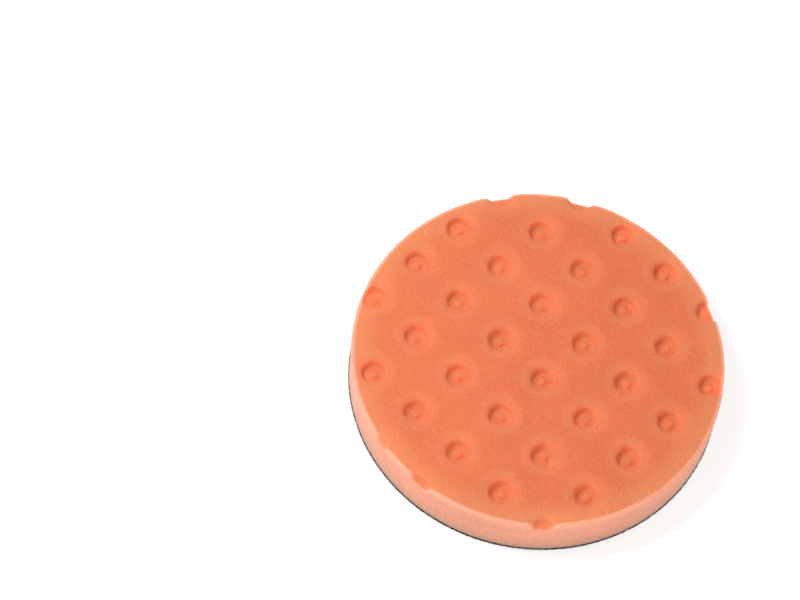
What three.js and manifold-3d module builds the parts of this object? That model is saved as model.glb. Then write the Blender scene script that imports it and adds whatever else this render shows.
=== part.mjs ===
// A round foam polishing pad, lying on its loop backing with its polishing face up.
//
// Units are millimetres and +Z is up. The origin is the centre of the loop face that lies on the floor,
// and the pocket rows run along X. The pad is a bonded stack: loop pile, knitted ground cloth,
// adhesive film and foam. The foam's face carries a square grid of round pockets, turned by 45 degrees,
// which runs on past the rim, so the outermost pockets are cut open by it.

import * as THREE from 'three';
import { mergeVertices } from 'three/addons/utils/BufferGeometryUtils.js';
import Module from 'manifold-3d';

// Driving dimensions
const padDiameter = 165;
const padHeight = 25;
const pileHeight = 0.9;
const clothThickness = 0.6;
const filmThickness = 0.3;
const filmInset = 0.3;             // how far the film stops short of the rim
const rimRounding = 1.8;           // radius of the foam's soft upper edge
const pocketPitch = 18.6;          // half the diagonal of the grid's squares
const gridShiftX = 1.8;            // a grid square's middle, from the pad's axis
const gridShiftY = 7.5;
const pocketDepth = 4.6;
const pocketFloorRadius = 4.5;
const pocketWallRadius = 5.2;      // where the steep wall meets the shoulder
const wallTopDrop = 2;             // how deep that is below the face
const shoulderMiddleRadius = 6.1;
const shoulderMiddleDrop = 0.7;
const shoulderRadius = 7.8;        // the face starts to dip here
const nubHeight = 0.9;             // raised middle of a pocket's floor
const nubBaseRadius = 2.9;
const nubTopRadius = 2.1;

// Facet counts
const rimFacets = 96;
const roundingFacets = 3;
const pocketFacets = 16;

// Worked out from the driving dimensions
const padRadius = padDiameter / 2;
const clothBottom = pileHeight;
const filmBottom = clothBottom + clothThickness;
const foamBottom = filmBottom + filmThickness;
const cutterMargin = 1;            // how far a pocket cutter stands out of the face

const wasm = await Module();
wasm.setup();

// A closed solid of revolution about Z. The profile's points are [radius, height], they start and end
// on the axis, and they run outwards along the bottom and back along the top.
function turned(profile, facets) {
  const points = profile.map(([radius, height]) => new THREE.Vector2(radius, height));
  const geometry = new THREE.LatheGeometry(points, facets);
  geometry.rotateX(Math.PI / 2);
  return welded(geometry);
}

// Joins vertices that lie at one place and drops the empty triangles this leaves on the axis.
function welded(geometry) {
  geometry.deleteAttribute('normal');
  geometry.deleteAttribute('uv');
  const merged = mergeVertices(geometry, 1e-4);
  const corners = merged.index.array;
  const kept = [];
  for (let i = 0; i < corners.length; i += 3) {
    const [a, b, c] = [corners[i], corners[i + 1], corners[i + 2]];
    if (a !== b && b !== c && c !== a) {
      kept.push(a, b, c);
    }
  }
  merged.setIndex(kept);
  return merged;
}

function toSolid(geometry) {
  return new wasm.Manifold(new wasm.Mesh({
    numProp: 3,
    vertProperties: new Float32Array(geometry.attributes.position.array),
    triVerts: new Uint32Array(geometry.index.array),
  }));
}

function toGeometry(solid) {
  const mesh = solid.getMesh();
  const geometry = new THREE.BufferGeometry();
  geometry.setAttribute('position', new THREE.BufferAttribute(mesh.vertProperties, 3));
  geometry.setIndex(new THREE.BufferAttribute(mesh.triVerts, 1));
  return geometry;
}

// A plain round layer of the laminate.
function layer(radius, bottom, thickness) {
  const top = bottom + thickness;
  return turned([[0, bottom], [radius, bottom], [radius, top], [0, top]], rimFacets);
}

// The foam before its pockets are made: a disc whose upper edge is rounded.
function foamBlank() {
  const profile = [[0, foamBottom], [padRadius, foamBottom]];
  for (let i = 0; i <= roundingFacets; i += 1) {
    const angle = (i / roundingFacets) * (Math.PI / 2);
    profile.push([
      padRadius - rimRounding * (1 - Math.cos(angle)),
      padHeight - rimRounding * (1 - Math.sin(angle)),
    ]);
  }
  profile.push([0, padHeight]);
  return toSolid(turned(profile, rimFacets));
}

// The space of one pocket, about its own axis: a rounded shoulder, a steep wall and a flat floor
// with a low round nub in its middle.
function pocketSpace() {
  const floor = padHeight - pocketDepth;
  const nubTop = floor + nubHeight;
  const above = padHeight + cutterMargin;
  return toSolid(turned([
    [0, nubTop],
    [nubTopRadius, nubTop],
    [nubBaseRadius, floor],
    [pocketFloorRadius, floor],
    [pocketWallRadius, padHeight - wallTopDrop],
    [shoulderMiddleRadius, padHeight - shoulderMiddleDrop],
    [shoulderRadius, padHeight],
    [shoulderRadius, above],
    [0, above],
  ], pocketFacets));
}

// The pockets' axes: every other crossing of the rows and columns, as far out as a pocket
// still touches the foam.
function pocketPlaces() {
  const reach = padRadius + shoulderRadius;
  const steps = Math.ceil(reach / pocketPitch) + 1;
  const places = [];
  for (let row = -steps; row <= steps; row += 1) {
    for (let column = -steps; column <= steps; column += 1) {
      const x = gridShiftX + column * pocketPitch;
      const y = gridShiftY + row * pocketPitch;
      const isCrossing = (row + column) % 2 !== 0;
      if (isCrossing && Math.hypot(x, y) < reach) {
        places.push([x, y]);
      }
    }
  }
  return places;
}

function foamDisc() {
  const space = pocketSpace();
  let foam = foamBlank();
  for (const [x, y] of pocketPlaces()) {
    foam = foam.subtract(space.translate([x, y, 0]));
  }
  return toGeometry(foam);
}

function piece(name, geometry, color, roughness) {
  const material = new THREE.MeshStandardMaterial({ color, roughness, metalness: 0 });
  const mesh = new THREE.Mesh(geometry, material);
  mesh.name = name;
  return mesh;
}

const pad = new THREE.Group();
pad.add(piece('foam_disc', foamDisc(), 0xe9794f, 0.95));
pad.add(piece('adhesive_film', layer(padRadius - filmInset, filmBottom, filmThickness), 0x9a6a52, 0.6));
pad.add(piece('backing_cloth', layer(padRadius, clothBottom, clothThickness), 0x17151a, 0.95));
pad.add(piece('loop_pile', layer(padRadius, 0, pileHeight), 0x121013, 1));

export default pad;
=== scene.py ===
"""The looks of a round foam polishing pad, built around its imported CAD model.

Everything is in metres, in the CAD's own frame: +Z up, the loop face on z = 0 and the pad's axis on
x = y = 0. The pad is a bonded stack. From the floor up it is: loop pile, knitted backing cloth, bonding
film and foam.
"""

import math

import bpy
import numpy as np
from mathutils import Matrix, Vector, geometry


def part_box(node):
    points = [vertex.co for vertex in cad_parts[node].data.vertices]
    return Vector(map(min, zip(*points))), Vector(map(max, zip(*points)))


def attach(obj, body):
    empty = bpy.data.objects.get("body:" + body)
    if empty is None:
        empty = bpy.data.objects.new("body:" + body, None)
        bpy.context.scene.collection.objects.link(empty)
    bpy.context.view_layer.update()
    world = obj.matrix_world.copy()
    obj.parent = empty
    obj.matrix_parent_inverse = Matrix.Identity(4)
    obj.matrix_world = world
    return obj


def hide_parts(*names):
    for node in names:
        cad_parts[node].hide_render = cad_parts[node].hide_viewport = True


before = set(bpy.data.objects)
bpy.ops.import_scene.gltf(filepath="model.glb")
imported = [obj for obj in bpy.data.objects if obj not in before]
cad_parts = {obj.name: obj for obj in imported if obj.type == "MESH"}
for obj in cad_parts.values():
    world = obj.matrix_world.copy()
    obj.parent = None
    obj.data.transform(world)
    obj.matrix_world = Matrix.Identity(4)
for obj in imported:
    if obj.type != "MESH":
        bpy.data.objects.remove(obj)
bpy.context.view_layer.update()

MM = 0.001
SEED = 20

# Places and sizes read from the CAD frame
foam_low, foam_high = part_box("foam_disc")
film_low, film_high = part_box("adhesive_film")
cloth_low, cloth_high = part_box("backing_cloth")
pile_low, pile_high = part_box("loop_pile")
PAD_RADIUS = (foam_high.x - foam_low.x) / 2
FACE_Z = foam_high.z
FOAM_BASE_Z = foam_low.z

# The pocket grid, as the CAD model lays it out
POCKET_PITCH = 18.6 * MM           # half the diagonal of the grid's squares
GRID_SHIFT = (1.8 * MM, 7.5 * MM)  # a grid square's middle, from the pad's axis
POCKET_SHAKE = 0.12 * MM           # how far off its place a pocket may sit, in x and in y

# One pocket
POCKET_DEPTH = 4.5 * MM
FLOOR_RADIUS = 4.15 * MM
WALL_RADIUS = 5.85 * MM            # top of the steep wall
SHOULDER_DROP = 1.45 * MM          # the part of the depth that the soft shoulder takes
SHOULDER_START = 5.0 * MM
SHOULDER_FADE = 1.6 * MM           # the shoulder's drop falls to 1/e of itself in this distance
SHOULDER_EASE = 8 * MM             # the shoulder is eased into the level face from here
SHOULDER_RADIUS = 11.5 * MM        # the face is level from here on
NUB_HEIGHT = 1.05 * MM
NUB_TOP_RADIUS = 1.15 * MM
NUB_BASE_RADIUS = 2.2 * MM
NUB_VARIETY = 0.12                 # how much nubs differ in height, as a share of it

# The rim, and the pockets that it cuts
RIM_ROUNDING = 1.15 * MM
RIM_FLARE = 0.35 * MM              # how far the side leans out at its top
FLARE_START = 0.4                  # the share of the side's height that stands straight
TOP_RADIUS = PAD_RADIUS + RIM_FLARE
RIM_DRAW = 1.25 * MM               # a pocket whose axis is just beyond the rim sits this much further in
DRAWN_OVERHANG = 5 * MM            # pockets that overhang more than this keep their place
GAPE = 0.75 * MM                   # how much a cut pocket's wall leans back, at its foot and at its top
NOTCH_SHARPNESS = 0.7              # how much of the rounding is gone where the rim cuts a pocket's floor

# Mesh density
RIM_COLUMNS = 1024
ROUNDING_ROWS = 6
SIDE_ROWS = 22
FACE_SPACING = 0.74 * MM
FACE_SHAKE = 0.2                   # how far a point of the face may be off its place, in spacings
POCKET_SPOKES = 48
HALF_SPOKES_WITHIN = 3.3 * MM      # the small rings of a pocket have fewer spokes
QUARTER_SPOKES_WITHIN = 1.5 * MM

# The foam's colours. Each tint is laid over what is there: its mask, its strength and its colour.
FOAM_FACE = (0.69, 0.164, 0.0705)
FOAM_TINTS = (
    # painted light: a pocket's inside is lighter in green and blue, to lift the shade of the hollow
    ("pocket_painted_light", 1.0, (0.65, 0.202, 0.0905)),
    # painted light: a pocket's wall is redder and lighter, standing for light bounced into its shade
    ("wall", 1.0, (0.72, 0.218, 0.089)),
    ("halo", 1.0, (0.705, 0.188, 0.084)),
    # the face turns paler and yellower towards the rim
    ("toward_rim", 1.0, (0.70, 0.222, 0.097)),
    # painted shade: the inside of a pocket that the rim cuts is darker and deeper orange
    ("cut_pocket_painted_shade", 0.25, (0.64, 0.15, 0.06)),
    ("cut", 1.0, (0.75, 0.302, 0.197)),
    # painted highlight: the rim's rounding is made paler, as where it catches the light
    ("edge", 0.6, (0.87, 0.405, 0.265)),
    # painted shade: the side grows darker towards the foam's base, as the shade near the floor
    ("foot_painted_shade", 0.5, (0.50, 0.262, 0.178)),
)
LINT = (0.16, 0.09, 0.075)
GRAIN_TINT = (0.066, 0.0375, 0.0245)
CUT_GRAIN = 2.4                    # the grain of a cut surface, as a multiple of the face's

# The colours of the backing, each from its darkest to its lightest
FILM_COLOURS = ((0.20, 0.085, 0.05), (0.42, 0.19, 0.12))
KNIT_COLOURS = ((0.0060, 0.0050, 0.0062), (0.020, 0.0165, 0.019))
PILE_COLOURS = ((0.0045, 0.0038, 0.0046), (0.0145, 0.0118, 0.0140))
FOAM_DUST = (0.50, 0.27, 0.21)

WHITE = (1.0, 1.0, 1.0)
WARM_WHITE = (1.0, 0.99, 0.97)


# ---------------------------------------------------------------- helpers


def smooth(start, end, x):
    """0 before start, 1 after end, and a smooth step between them."""
    t = np.clip((x - start) / (end - start), 0, 1)
    return t * t * (3 - 2 * t)


def hashed(ix, iy, iz, seed):
    """A repeatable value from -1 to 1 for each whole-numbered place. The large numbers scatter the bits."""
    n = ix * 374761393 + iy * 668265263 + iz * 1440662683 + seed * 974634777
    n = (n ^ (n >> 13)) * 1274126177
    n = n ^ (n >> 16)
    return (n & 0xFFFF) / 32767.5 - 1


def noise(points, size, seed):
    """Smooth value noise from -1 to 1 at an (n, 3) array of points; size is the width of its blobs."""
    p = points / size
    whole = np.floor(p).astype(np.int64)
    part = p - whole
    part = part * part * (3 - 2 * part)
    total = np.zeros(len(points))
    for dx in (0, 1):
        for dy in (0, 1):
            for dz in (0, 1):
                share = np.ones(len(points))
                for axis, step in enumerate((dx, dy, dz)):
                    share = share * (part[:, axis] if step else 1 - part[:, axis])
                corner = whole + (dx, dy, dz)
                total += share * hashed(corner[:, 0], corner[:, 1], corner[:, 2], seed)
    return total


def unit_circle(columns):
    """Evenly spread points on a circle of radius 1, anticlockwise from +X, and their bearings."""
    turn = np.arange(columns) * 2 * math.pi / columns
    return np.stack([np.cos(turn), np.sin(turn)], 1), turn


def uneven_circle(columns, radius, amount, blob, seed):
    """The distance of an uneven edge from the axis, for each column."""
    circle, _ = unit_circle(columns)
    on_circle = np.column_stack([circle, np.zeros(columns)]) * radius
    return radius + amount * noise(on_circle, blob, seed)


def mesh_object(name, points, faces, smooth_shaded=True):
    """A mesh of these points and faces, placed in the scene."""
    mesh = bpy.data.meshes.new(name)
    mesh.from_pydata(np.asarray(points).tolist(), [], faces)
    mesh.validate()
    if smooth_shaded:
        mesh.shade_smooth()
    made = bpy.data.objects.new(name, mesh)
    bpy.context.scene.collection.objects.link(made)
    return made


def mesh_points(mesh):
    """The mesh's points as an (n, 3) array."""
    points = np.empty(len(mesh.vertices) * 3)
    mesh.vertices.foreach_get("co", points)
    return points.reshape(-1, 3)


def move_points(mesh, points):
    """Gives the mesh's points new places."""
    mesh.vertices.foreach_set("co", points.ravel())
    mesh.update()


def set_mask(piece, name, values):
    """Stores one number a vertex, for the materials to read."""
    layer = piece.data.attributes.new(name, "FLOAT", "POINT")
    layer.data.foreach_set("value", np.asarray(values, np.float32))


def grid_faces(rows, columns):
    """Quads of a closed band: row 0 is the lowest, and columns run anticlockwise seen from above."""
    faces = []
    for row in range(rows - 1):
        here = row * columns
        above = here + columns
        for c in range(columns):
            d = (c + 1) % columns
            faces.append((here + c, here + d, above + d, above + c))
    return faces


# ---------------------------------------------------------------- camera, light and floor


def camera():
    """The view that the pad was first seen from: steep, from the front, with a slight roll."""
    azimuth = math.radians(-6.385)
    elevation = math.radians(61.357)
    roll = math.radians(8.03)
    distance = 1.445
    aim = Vector((-61.6 * MM, 24.7 * MM, 25.1 * MM))
    back = Vector((
        math.sin(azimuth) * math.cos(elevation),
        -math.cos(azimuth) * math.cos(elevation),
        math.sin(elevation),
    ))
    level = Vector((math.cos(azimuth), math.sin(azimuth), 0))
    upright = back.cross(level)
    right = level * math.cos(roll) + upright * math.sin(roll)
    up = upright * math.cos(roll) - level * math.sin(roll)
    data = bpy.data.cameras.new("camera")
    data.sensor_width = 36
    data.lens = 146.5
    data.clip_start = 0.05
    data.clip_end = 50
    made = bpy.data.objects.new("camera", data)
    turn = Matrix((right, up, back)).transposed()
    made.matrix_world = Matrix.Translation(aim + back * distance) @ turn.to_4x4()
    bpy.context.scene.collection.objects.link(made)
    bpy.context.scene.camera = made


def room_light():
    """An even grey room, which is pale near the horizon, where low views look past the floor's edge."""
    world = bpy.data.worlds.new("studio")
    bpy.context.scene.world = world
    world.use_nodes = True
    tree = world.node_tree
    backdrop = tree.nodes["Background"]
    backdrop.inputs["Color"].default_value = (*WHITE, 1)
    direction = tree.nodes.new("ShaderNodeTexCoord").outputs["Generated"]
    split = tree.nodes.new("ShaderNodeSeparateXYZ")
    fade = tree.nodes.new("ShaderNodeMapRange")
    fade.interpolation_type = "SMOOTHSTEP"
    fade.inputs["From Min"].default_value = 0.045  # the rise of a direction, as a share of its length
    fade.inputs["From Max"].default_value = 0.09
    fade.inputs["To Min"].default_value = 0.88     # brightness at the horizon
    fade.inputs["To Max"].default_value = 0.36     # brightness of the rest
    tree.links.new(direction, split.inputs[0])
    tree.links.new(split.outputs["Z"], fade.inputs["Value"])
    tree.links.new(fade.outputs["Result"], backdrop.inputs["Strength"])


def area_light(name, azimuth, elevation, distance, size, watts, colour):
    """A square soft box that faces the pad. Azimuth is anticlockwise from +X, in degrees."""
    a, e = math.radians(azimuth), math.radians(elevation)
    towards = Vector((math.cos(a) * math.cos(e), math.sin(a) * math.cos(e), math.sin(e)))
    data = bpy.data.lights.new(name, "AREA")
    data.shape = "SQUARE"
    data.size = size
    data.energy = watts
    data.color = colour
    made = bpy.data.objects.new(name, data)
    made.location = towards * distance
    made.rotation_mode = "QUATERNION"
    made.rotation_quaternion = towards.to_track_quat("Z", "Y")
    made.visible_camera = False
    bpy.context.scene.collection.objects.link(made)


def studio():
    """A pale room, a soft key light from the left, a weak fill from the front and a broad light behind."""
    room_light()
    area_light("key", azimuth=166, elevation=60, distance=0.85, size=0.27, watts=5.5, colour=WARM_WHITE)
    area_light("fill", azimuth=-98, elevation=18, distance=0.8, size=0.3, watts=1.95, colour=WHITE)
    area_light("back", azimuth=20, elevation=26, distance=1.6, size=1.2, watts=5.4, colour=WHITE)
    bpy.context.scene.view_settings.view_transform = "Standard"


def floor():
    """A plain pale floor, which gives a little light of its own, as a light table does."""
    half = 4.0
    z = -0.1 * MM
    corners = [(-half, -half, z), (half, -half, z), (half, half, z), (-half, half, z)]
    made = mesh_object("floor", corners, [(0, 1, 2, 3)], smooth_shaded=False)
    material = bpy.data.materials.new("floor_white")
    material.use_nodes = True
    shader = material.node_tree.nodes["Principled BSDF"]
    shader.inputs["Base Color"].default_value = (0.36, 0.36, 0.36, 1)
    shader.inputs["Emission Color"].default_value = (*WHITE, 1)
    shader.inputs["Emission Strength"].default_value = 0.74
    shader.inputs["Roughness"].default_value = 0.9
    shader.inputs["Specular IOR Level"].default_value = 0.1
    made.data.materials.append(material)


# ---------------------------------------------------------------- material building blocks


class Nodes:
    """A new material's node tree, with short calls for the nodes used here."""

    def __init__(self, name):
        self.material = bpy.data.materials.new(name)
        self.material.use_nodes = True
        self.tree = self.material.node_tree
        self.shader = self.tree.nodes["Principled BSDF"]
        self.place = self.tree.nodes.new("ShaderNodeTexCoord").outputs["Object"]

    def put(self, socket, value):
        """Links a socket to another node's output, or sets it to a fixed value."""
        if isinstance(value, bpy.types.NodeSocket):
            self.tree.links.new(value, socket)
        else:
            socket.default_value = value

    def fixed(self, **values):
        """Sets numbers that are the same all over the surface on the shader itself."""
        for name, value in values.items():
            self.shader.inputs[name.replace("_", " ")].default_value = value

    def mask(self, name):
        """Reads a number that set_mask stored."""
        node = self.tree.nodes.new("ShaderNodeAttribute")
        node.attribute_name = name
        return node.outputs["Fac"]

    def noise(self, size, detail=2.0, roughness=0.5):
        """Cloudy noise from 0 to 1; size is the width of its largest blobs."""
        node = self.tree.nodes.new("ShaderNodeTexNoise")
        self.put(node.inputs["Vector"], self.place)
        node.inputs["Scale"].default_value = 1 / size
        node.inputs["Detail"].default_value = detail
        node.inputs["Roughness"].default_value = roughness
        return node.outputs["Fac"]

    def cells(self, size):
        """The distance to the middle of the nearest of many irregular cells, in cells of this size."""
        node = self.tree.nodes.new("ShaderNodeTexVoronoi")
        self.put(node.inputs["Vector"], self.place)
        node.inputs["Scale"].default_value = 1 / size
        return node.outputs["Distance"]

    def maths(self, operation, a, b):
        node = self.tree.nodes.new("ShaderNodeMath")
        node.operation = operation
        for socket, value in zip(node.inputs, (a, b)):
            self.put(socket, value)
        return node.outputs[0]

    def spread(self, value, low, high, new_low=0.0, new_high=1.0):
        """Maps low to high on to new_low to new_high, and holds values at those ends."""
        node = self.tree.nodes.new("ShaderNodeMapRange")
        for socket, number in zip(node.inputs, (value, low, high, new_low, new_high)):
            self.put(socket, number)
        return node.outputs["Result"]

    def mix(self, share, a, b, blend="MIX"):
        """Blends a share of colour b into colour a."""
        node = self.tree.nodes.new("ShaderNodeMix")
        node.data_type = "RGBA"
        node.blend_type = blend
        self.put(node.inputs["Factor"], share)
        colours = [s for s in node.inputs if s.type == "RGBA"]
        for socket, value in zip(colours, (a, b)):
            self.put(socket, (*value, 1) if isinstance(value, tuple) else value)
        return next(s for s in node.outputs if s.type == "RGBA")

    def add(self, amount, tint, colour):
        """Adds a tint to the colour by an amount, which may be below zero."""
        node = self.tree.nodes.new("ShaderNodeVectorMath")
        node.operation = "MULTIPLY_ADD"
        for socket, value in zip(node.inputs, (amount, tint, colour)):
            self.put(socket, value)
        return node.outputs["Vector"]

    def bump(self, height, distance, strength, under=None):
        """Fine relief on the normal, laid over another relief where one is given."""
        node = self.tree.nodes.new("ShaderNodeBump")
        node.inputs["Distance"].default_value = distance
        node.inputs["Strength"].default_value = strength
        self.put(node.inputs["Height"], height)
        if under is not None:
            self.put(node.inputs["Normal"], under)
        return node.outputs["Normal"]

    def finish(self, colour, normal):
        """Connects the colour and the normal, and gives the material."""
        self.put(self.shader.inputs["Base Color"], colour)
        self.put(self.shader.inputs["Normal"], normal)
        return self.material


# ---------------------------------------------------------------- foam


def pocket_places():
    """The pockets' axes: every other crossing of the rows and columns, while a pocket touches the foam."""
    reach = PAD_RADIUS + SHOULDER_RADIUS
    steps = math.ceil(reach / POCKET_PITCH) + 1
    places = []
    for row in range(-steps, steps + 1):
        for column in range(-steps, steps + 1):
            x = GRID_SHIFT[0] + column * POCKET_PITCH
            y = GRID_SHIFT[1] + row * POCKET_PITCH
            if (row + column) % 2 and math.hypot(x, y) < reach:
                places.append((x, y))
    places = np.array(places)
    out = np.hypot(places[:, 0], places[:, 1])
    overhang = out - PAD_RADIUS
    drawn = (overhang > 0) & (overhang < DRAWN_OVERHANG)
    return places * (1 - np.where(drawn, RIM_DRAW / out, 0))[:, None]


def nearest_pocket(x, y, places):
    """The distance from each point to the nearest pocket's axis, and which pocket that is."""
    away = np.hypot(x[:, None] - places[None, :, 0], y[:, None] - places[None, :, 1])
    which = away.argmin(1)
    return away[np.arange(len(x)), which], which


def cut_open(places):
    """Which pockets the rim cuts through or beside their nub, so that they open to the side."""
    return np.hypot(places[:, 0], places[:, 1]) > PAD_RADIUS - NUB_BASE_RADIUS / 2


def pocket_gape(places):
    """How much each pocket's wall leans back: only where the rim cuts the pocket open."""
    return np.where(cut_open(places), GAPE, 0)


def pocket_dip(r, gape, nub_scale):
    """How far the face lies below its flat level at distance r from a pocket's axis."""
    wall = (POCKET_DEPTH - SHOULDER_DROP) * (1 - smooth(FLOOR_RADIUS - gape, WALL_RADIUS + gape, r))
    shoulder = SHOULDER_DROP * np.exp(-np.maximum(r - SHOULDER_START, 0) / SHOULDER_FADE)
    shoulder = shoulder * (1 - smooth(SHOULDER_EASE, SHOULDER_RADIUS, r))
    nub = NUB_HEIGHT * nub_scale * (1 - smooth(NUB_TOP_RADIUS, NUB_BASE_RADIUS, r))
    return wall + shoulder - nub


def face_dip(xy, places, nub_scale):
    """How far the face lies below its flat level at each (x, y)."""
    r, which = nearest_pocket(xy[:, 0], xy[:, 1], places)
    return pocket_dip(r, pocket_gape(places)[which], nub_scale[which])


def rim_rounding(dip):
    """The radius of the rim's soft edge: smaller where the rim cuts through a pocket."""
    return RIM_ROUNDING * (1 - NOTCH_SHARPNESS * np.clip(dip / POCKET_DEPTH, 0, 1))


def ring_radii():
    """Radii of the mesh rings in a pocket, close together where the surface is steep."""
    spans_mm = (
        (0.6, 1.1, 2),     # the nub's top: first and last radius, and how many rings
        (1.25, 2.15, 5),   # the nub's side
        (2.5, 3.8, 4),     # the floor
        (4.15, 5.85, 10),  # the wall
        (6.15, 9.15, 8),   # the shoulder
    )
    return np.concatenate([np.linspace(*span) for span in spans_mm]) * MM


def ring_points(places):
    """Mesh points in rings about each pocket's axis."""
    _, turn = unit_circle(POCKET_SPOKES)
    found = [places]
    for i, r in enumerate(ring_radii()):
        step = turn + (i % 2) * math.pi / POCKET_SPOKES
        offsets = r * np.stack([np.cos(step), np.sin(step)], 1)
        if r < QUARTER_SPOKES_WITHIN:
            offsets = offsets[::4]
        elif r < HALF_SPOKES_WITHIN:
            offsets = offsets[::2]
        found.append((places[:, None] + offsets[None]).reshape(-1, 2))
    return np.concatenate(found)


def field_points(places, rng):
    """A slightly shaken triangular lattice over the face between the pockets."""
    row_step = FACE_SPACING * math.sqrt(3) / 2
    rows = int(TOP_RADIUS / row_step) + 1
    columns = int(TOP_RADIUS / FACE_SPACING) + 1
    j, i = np.meshgrid(np.arange(-rows, rows + 1), np.arange(-columns, columns + 1))
    x = (i + 0.5 * (j % 2)).ravel() * FACE_SPACING
    y = j.ravel() * row_step
    x = x + rng.uniform(-FACE_SHAKE, FACE_SHAKE, len(x)) * FACE_SPACING
    y = y + rng.uniform(-FACE_SHAKE, FACE_SHAKE, len(y)) * FACE_SPACING
    clear = nearest_pocket(x, y, places)[0] > ring_radii()[-1] + 0.5 * FACE_SPACING
    return np.stack([x, y], 1)[clear]


def side_rows(circle, places, nub_scale):
    """Rows of points up the side and round the rim to the face's outer ring, and the rim's rounding."""
    rim_dip = face_dip(circle * TOP_RADIUS, places, nub_scale)
    rounding = rim_rounding(rim_dip)
    rim_z = FACE_Z - rim_dip - rounding
    rows = []
    for row in range(SIDE_ROWS):
        share = row / SIDE_ROWS
        radius = PAD_RADIUS + RIM_FLARE * smooth(FLARE_START, 1, share)
        rows.append(np.column_stack([circle * radius, FOAM_BASE_Z + share * (rim_z - FOAM_BASE_Z)]))
    for row in range(ROUNDING_ROWS + 1):
        angle = row / ROUNDING_ROWS * math.pi / 2
        xy = circle * (TOP_RADIUS - rounding * (1 - math.cos(angle)))[:, None]
        z = FACE_Z - face_dip(xy, places, nub_scale) - rounding * (1 - math.sin(angle))
        rows.append(np.column_stack([xy, z]))
    return rows, rounding


def face_triangles(flat):
    """Triangles over the face's flat points, of which the first RIM_COLUMNS are its outline."""
    outline = tuple(range(RIM_COLUMNS))
    inside_only = 1
    tolerance = 1e-6
    in_mm = [Vector(p) for p in flat / MM]
    _, _, triangles, *_ = geometry.delaunay_2d_cdt(in_mm, [], [outline], inside_only, tolerance)
    return triangles


def foam_surface(places, rng):
    """The foam's closed surface before its roughness: points and faces."""
    circle, turn = unit_circle(RIM_COLUMNS)
    nub_scale = 1 + NUB_VARIETY * rng.uniform(-1, 1, len(places))
    nub_scale = np.where(cut_open(places), 0, nub_scale)
    rows, rounding = side_rows(circle, places, nub_scale)
    faces = grid_faces(len(rows), RIM_COLUMNS)
    base = tuple(range(RIM_COLUMNS))
    faces.append(base[::-1])

    # the face inside the rim's last row
    inner = np.concatenate([ring_points(places), field_points(places, rng)])
    bearing = np.arctan2(inner[:, 1], inner[:, 0]) % (2 * math.pi)
    edge = np.interp(bearing, turn, TOP_RADIUS - rounding, period=2 * math.pi)
    inner = inner[np.hypot(inner[:, 0], inner[:, 1]) < edge - 0.5 * FACE_SPACING]
    first = (len(rows) - 1) * RIM_COLUMNS
    for triangle in face_triangles(np.concatenate([rows[-1][:, :2], inner])):
        faces.append(tuple(first + i for i in triangle))
    inner_z = FACE_Z - face_dip(inner, places, nub_scale)
    points = np.concatenate([*rows, np.column_stack([inner, inner_z])])
    return points, faces


def roughen(piece):
    """Moves the foam's points a little along their normals, as the cut cells of real foam do."""
    mesh = piece.data
    points = mesh_points(mesh)
    normals = np.empty(points.size, np.float32)
    mesh.vertex_normals.foreach_get("vector", normals)
    normals = normals.reshape(-1, 3).astype(float)
    swell = 0.10 * MM * noise(points, 14 * MM, SEED)
    grain = 0.035 * MM * noise(points, 1.6 * MM, SEED + 1)
    cells = 0.022 * MM * noise(points, 0.7 * MM, SEED + 2)
    above_bond = smooth(0, 1.5 * MM, points[:, 2] - FOAM_BASE_Z)
    points += normals * ((swell + grain + cells) * above_bond)[:, None]
    move_points(mesh, points)
    return points


def foam_masks(piece, points, places):
    """Where each of the foam's tints goes, as a number from 0 to 1 at each point."""
    out = np.hypot(points[:, 0], points[:, 1])
    r, which = nearest_pocket(points[:, 0], points[:, 1], places)
    rounding = rim_rounding(pocket_dip(r, pocket_gape(places)[which], 1))
    past_rim = (out - PAD_RADIUS) / MM
    above_face = (points[:, 2] - FACE_Z) / MM
    above_base = (points[:, 2] - FOAM_BASE_Z) / MM
    from_axis = r / MM

    # the side and the rim, and the face near them, with a painted highlight on the rim's rounding and
    # painted shade low on the side
    # paler and yellower from 14 mm inside the rim out to it
    set_mask(piece, "toward_rim", smooth(-14, -1.5, past_rim))
    set_mask(piece, "cut", smooth(PAD_RADIUS - 1.25 * rounding, PAD_RADIUS - 0.05 * rounding, out))
    # painted highlight: a pale line along the rim's rounding
    set_mask(piece, "edge", smooth(-1.5, -0.4, past_rim) * smooth(-6, -1.2, above_face))
    # painted shade: darker towards the foam's base, over its lowest 13 mm
    set_mask(piece, "foot_painted_shade", 1 - smooth(0, 13, above_base))
    set_mask(piece, "low", 1 - smooth(0, 4.5, above_base))

    # a pocket's inside and its wall, lightened as painted light in their shade, the haze round it, and
    # painted shade inside a pocket that the rim cuts
    # painted light: lightens the inside of each pocket, where the hollow is in shade
    set_mask(piece, "pocket_painted_light", 1 - smooth(4.4, 5.6, from_axis))
    # painted light: a redder, lighter band on each pocket's wall, for light bounced into its shade
    set_mask(piece, "wall", smooth(3.7, 4.6, from_axis) * (1 - smooth(5.3, 6.4, from_axis)))
    set_mask(piece, "halo", smooth(5.4, 7.0, from_axis) * (1 - smooth(8.3, 11.5, from_axis)))
    # painted shade: darkens the inside of the pockets that the rim cuts
    set_mask(piece, "cut_pocket_painted_shade", cut_open(places)[which] * (1 - smooth(4.6, 6.0, from_axis)))


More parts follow.
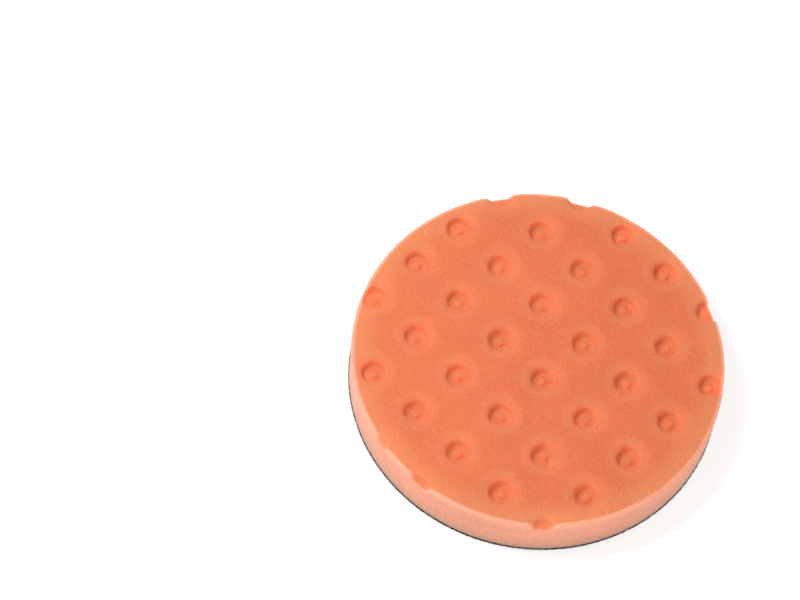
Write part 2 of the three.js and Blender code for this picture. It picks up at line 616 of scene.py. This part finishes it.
def foam_material():
    """Orange open-cell foam: saturated on its pressed face, paler where it was cut, with painted light and
    shade in its pockets, painted shade low on its side and a painted highlight on its rim.
    """
    n = Nodes("foam_orange")
    colour = FOAM_FACE
    for mask, strength, tint in FOAM_TINTS:
        colour = n.mix(n.maths("MULTIPLY", n.mask(mask), strength), colour, tint)
    specks = n.maths("MULTIPLY", n.mask("low"), n.spread(n.noise(0.5 * MM), 0.42, 0.62))
    colour = n.mix(n.maths("MULTIPLY", specks, 0.18), colour, LINT)
    broad = n.spread(n.noise(22 * MM, 3.0), 0.3, 0.7, 0.965, 1.035)
    colour = n.mix(1.0, colour, broad, "MULTIPLY")
    grain = n.spread(n.noise(0.6 * MM, 3.0, 0.7), 0.3, 0.7, -1.0, 1.0)
    holes = n.spread(n.cells(0.5 * MM), 0.0, 0.6, -0.5, 0.2)
    coarseness = n.spread(n.mask("cut"), 0.0, 1.0, 1.0, CUT_GRAIN)
    amount = n.maths("MULTIPLY", n.maths("ADD", grain, holes), coarseness)
    colour = n.add(amount, GRAIN_TINT, colour)
    lumps = n.bump(n.noise(1.1 * MM, 3.0, 0.6), 0.12 * MM, 0.22)
    normal = n.bump(n.cells(0.5 * MM), 0.12 * MM, 0.28, lumps)
    n.fixed(
        Roughness=0.95,
        Specular_IOR_Level=0.15,
        Sheen_Weight=0.22,
        Sheen_Roughness=0.5,
        Sheen_Tint=(1.0, 0.80, 0.70, 1),
        Subsurface_Weight=1.0,
        Subsurface_Scale=10 * MM,
        Subsurface_Radius=(1.0, 0.2, 0.14),
    )
    n.shader.subsurface_method = "BURLEY"
    return n.finish(colour, normal)


def foam():
    """The foam disc: a face with pockets, a soft rim and a cut side."""
    rng = np.random.default_rng(SEED)
    places = pocket_places()
    places = places + rng.uniform(-POCKET_SHAKE, POCKET_SHAKE, places.shape)
    made = mesh_object("pad_foam", *foam_surface(places, rng))
    points = roughen(made)
    foam_masks(made, points, places)
    made.data.materials.append(foam_material())
    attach(made, "root")
    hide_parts("foam_disc")


# ---------------------------------------------------------------- bonding film


def layer_end(edge_start, count, radii, z, rings, faces_up):
    """Closes one side of a thin layer: rings of points that shrink to the axis, and their faces. They join
    the edge row whose first point is number edge_start, and the new points are numbered from count."""
    previous = edge_start
    columns = len(radii)
    circle, _ = unit_circle(columns)
    points = []
    faces = []
    for share in rings:
        points.append(np.column_stack([circle * (radii * share)[:, None], np.full(columns, z)]))
        for c in range(columns):
            d = (c + 1) % columns
            faces.append((previous + c, previous + d, count + d, count + c))
        previous = count
        count += columns
    points.append([(0, 0, z)])
    for c in range(columns):
        faces.append((previous + c, previous + (c + 1) % columns, count))
    if not faces_up:
        faces = [face[::-1] for face in faces]
    return points, faces


def round_layer(name, bottom, top, radii, under_rings, over_rings, top_inset=0.0):
    """A thin round layer with an uneven edge. radii gives the edge's distance from the axis for each
    column. The rings are the mesh rings of the underside and of the top, as shares of that distance. The
    top edge lies further in than the bottom edge by top_inset."""
    columns = len(radii)
    circle, _ = unit_circle(columns)
    bulge = 0.12 * (top - bottom)
    points = []
    for z, inset in ((bottom, bulge), ((bottom + top) / 2, 0), (top, bulge + top_inset)):
        points.append(np.column_stack([circle * (radii - inset)[:, None], np.full(columns, z)]))
    faces = grid_faces(3, columns)
    under_count = 3 * columns
    over_count = under_count + len(under_rings) * columns + 1
    under_points, under_faces = layer_end(0, under_count, radii, bottom, under_rings, faces_up=False)
    over_points, over_faces = layer_end(2 * columns, over_count, radii, top, over_rings, faces_up=True)
    points = np.concatenate(points + under_points + over_points)
    return mesh_object(name, points, faces + under_faces + over_faces)


def film_material():
    """Dried brownish bonding film, slightly glossier than what it joins."""
    n = Nodes("bond_film")
    tone = n.spread(n.noise(2.5 * MM, 3.0), 0.35, 0.65)
    colour = n.mix(tone, *FILM_COLOURS)
    n.fixed(Roughness=0.5, Specular_IOR_Level=0.4)
    return n.finish(colour, n.bump(n.noise(0.6 * MM), 0.05 * MM, 0.5))


def bonding_film():
    """The brown line between the foam and the cloth."""
    film_radius = (film_high.x - film_low.x) / 2
    radii = uneven_circle(720, film_radius - 0.05 * MM, 0.12 * MM, 1.5 * MM, SEED + 5)
    rings = (0.97, 0.6)
    made = round_layer("bond_line", film_low.z, film_high.z, radii, rings, rings)
    made.data.materials.append(film_material())
    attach(made, "root")
    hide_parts("adhesive_film")


# ---------------------------------------------------------------- backing cloth


def knit_material():
    """Black knitted ground cloth, with foam dust in the yarns of its upper edge."""
    n = Nodes("knit_black")
    tone = n.spread(n.noise(0.5 * MM, 3.0), 0.3, 0.7)
    colour = n.mix(tone, *KNIT_COLOURS)
    dust = n.maths("MULTIPLY", n.mask("dust"), n.spread(tone, 0.0, 1.0, 0.6, 0.95))
    colour = n.mix(dust, colour, FOAM_DUST)
    n.fixed(Roughness=0.95, Specular_IOR_Level=0.12, Sheen_Weight=0.12, Sheen_Roughness=0.6)
    return n.finish(colour, n.bump(n.cells(0.35 * MM), 0.1 * MM, 0.6))


def backing_cloth(with_pieces):
    """The ground cloth, bonded flat under the foam."""
    cloth_radius = (cloth_high.x - cloth_low.x) / 2
    radii = uneven_circle(1440, cloth_radius, 0.14 * MM, 0.8 * MM, SEED + 7)
    rings = tuple(np.linspace(0.985, 0.1, 24))
    made = round_layer("backing_knit", cloth_low.z, cloth_high.z, radii, rings, rings)
    heights = mesh_points(made.data)[:, 2]
    set_mask(made, "dust", smooth(cloth_low.z - 0.5 * MM, cloth_low.z + 0.4 * MM, heights))
    made.data.materials.append(knit_material())
    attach(made, "root")
    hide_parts("backing_cloth")


# ---------------------------------------------------------------- loop pile


def pile_material():
    """Matt black brushed loops."""
    n = Nodes("pile_black")
    tone = n.spread(n.noise(0.7 * MM, 4.0, 0.65), 0.3, 0.7)
    colour = n.mix(tone, *PILE_COLOURS)
    n.fixed(Roughness=1.0, Specular_IOR_Level=0.08, Sheen_Weight=0.10, Sheen_Roughness=0.7)
    return n.finish(colour, n.bump(n.noise(0.4 * MM, 3.0, 0.7), 0.12 * MM, 0.7))


def pile_felt(material):
    """The dense lower part of the pile: a felted layer with an uneven underside."""
    ring_spacing = 0.9 * MM
    standoff = 0.06 * MM
    overhang = 0.22 * MM
    tuft_height = 0.11 * MM
    edge = uneven_circle(720, PAD_RADIUS + overhang, 0.12 * MM, 0.9 * MM, SEED + 9)
    under_rings = tuple(np.linspace(0.99, 0.05, int(PAD_RADIUS / ring_spacing)))
    made = round_layer("pile_felt", pile_low.z + standoff, pile_high.z, edge, under_rings, (0.97, 0.5),
                       top_inset=0.45 * MM)
    points = mesh_points(made.data)
    under = points[:, 2] < (pile_low.z + pile_high.z) / 2
    tuft = noise(points, 1.3 * MM, SEED + 10) + 0.6 * noise(points, 0.6 * MM, SEED + 11)
    points[under, 2] += (tuft_height * (1 + tuft))[under]
    move_points(made.data, points)
    made.data.materials.append(material)
    return made


def strands(name, paths, thickness):
    """Fine yarns with three sides: paths is an (n, m, 3) array of points along each yarn."""
    sides = 3
    askew = np.array([0.31, 0.17, 0.93])
    count, steps, _ = paths.shape
    along = np.gradient(paths, axis=1)
    along /= np.linalg.norm(along, axis=2, keepdims=True)
    across = np.cross(along, askew)
    across /= np.maximum(np.linalg.norm(across, axis=2, keepdims=True), 1e-9)
    over = np.cross(along, across)
    points = np.empty((count, steps, sides, 3))
    for k in range(sides):
        angle = 2 * math.pi * k / sides
        points[:, :, k] = paths + thickness / 2 * (across * math.cos(angle) + over * math.sin(angle))
    faces = []
    for s in range(count):
        first = s * steps * sides
        last = first + (steps - 1) * sides
        faces.append(tuple(first + k for k in range(sides))[::-1])
        for here in range(first, last, sides):
            for k in range(sides):
                d = (k + 1) % sides
                faces.append((here + k, here + d, here + sides + d, here + sides + k))
        faces.append(tuple(last + k for k in range(sides)))
    return mesh_object(name, points.reshape(-1, 3), faces)


def arches(feet, lean, span, rise, steps):
    """Loops that leave the cloth at feet, arch downwards by rise and come back span away."""
    bow = 0.35  # how far a loop bends sideways, as a share of its span
    t = np.linspace(0, 1, steps)[None, :, None]
    side = np.stack([-lean[:, 1], lean[:, 0]], 1)
    flat = feet[:, None, :2] + lean[:, None] * (t * span[:, None, None])
    flat = flat + side[:, None] * (np.sin(math.pi * t) * bow * span[:, None, None])
    z = feet[:, 2:3] - rise[:, None] * np.sin(math.pi * t[:, :, 0])
    return np.concatenate([flat, z[:, :, None]], 2)


def pile_loops(material, rng):
    """Single loops that stand out of the felted layer, all over the underside."""
    count = 5000
    foot_z = pile_low.z + 0.55 * MM
    out = (PAD_RADIUS - 0.8 * MM) * np.sqrt(rng.random(count))
    turn = rng.random(count) * 2 * math.pi
    feet = np.stack([out * np.cos(turn), out * np.sin(turn), np.full(count, foot_z)], 1)
    way = rng.random(count) * 2 * math.pi
    lean = np.stack([np.cos(way), np.sin(way)], 1)
    span = rng.uniform(0.7, 1.5, count) * MM
    rise = rng.uniform(0.35, 0.5, count) * MM
    made = strands("pile_loops", arches(feet, lean, span, rise, steps=7), thickness=0.085 * MM)
    made.data.materials.append(material)
    return made


def edge_fuzz(material, rng):
    """Fine fibres along the cut edge of the backing, which curl out and up a little."""
    count = 6000
    steps = 6
    lowest = pile_low.z + 0.05 * MM
    turn = rng.random(count) * 2 * math.pi
    outward = np.stack([np.cos(turn), np.sin(turn), np.zeros(count)], 1)
    tangent = np.stack([-np.sin(turn), np.cos(turn), np.zeros(count)], 1)
    start = outward * (PAD_RADIUS - 0.15 * MM)
    start[:, 2] = rng.uniform(pile_low.z + 0.1 * MM, pile_high.z, count)
    reach = rng.gamma(2.0, 0.13, count) * MM + 0.2 * MM
    climb = rng.normal(0.05, 0.35, count) * MM
    drift = rng.normal(0, 0.55, count) * MM
    t = np.linspace(0, 1, steps)[None, :, None]
    curl = np.sin(t * 1.9)
    paths = start[:, None] + outward[:, None] * (curl * reach[:, None, None])
    paths = paths + tangent[:, None] * (t * t * drift[:, None, None])
    paths[:, :, 2] += (t[:, :, 0] ** 2) * climb[:, None]
    paths[:, :, 2] = np.maximum(paths[:, :, 2], lowest)
    made = strands("edge_fuzz", paths, thickness=0.06 * MM)
    made.data.materials.append(material)
    return made


def pile():
    """The three pieces that stand for the loop pile."""
    rng = np.random.default_rng(SEED + 30)
    material = pile_material()
    made = [pile_felt(material), pile_loops(material, rng), edge_fuzz(material, rng)]
    for piece in made:
        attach(piece, "root")
        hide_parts("loop_pile")
    return made


# ---------------------------------------------------------------- the whole scene


camera()
studio()
floor()
foam()
bonding_film()
backing_cloth(pile())
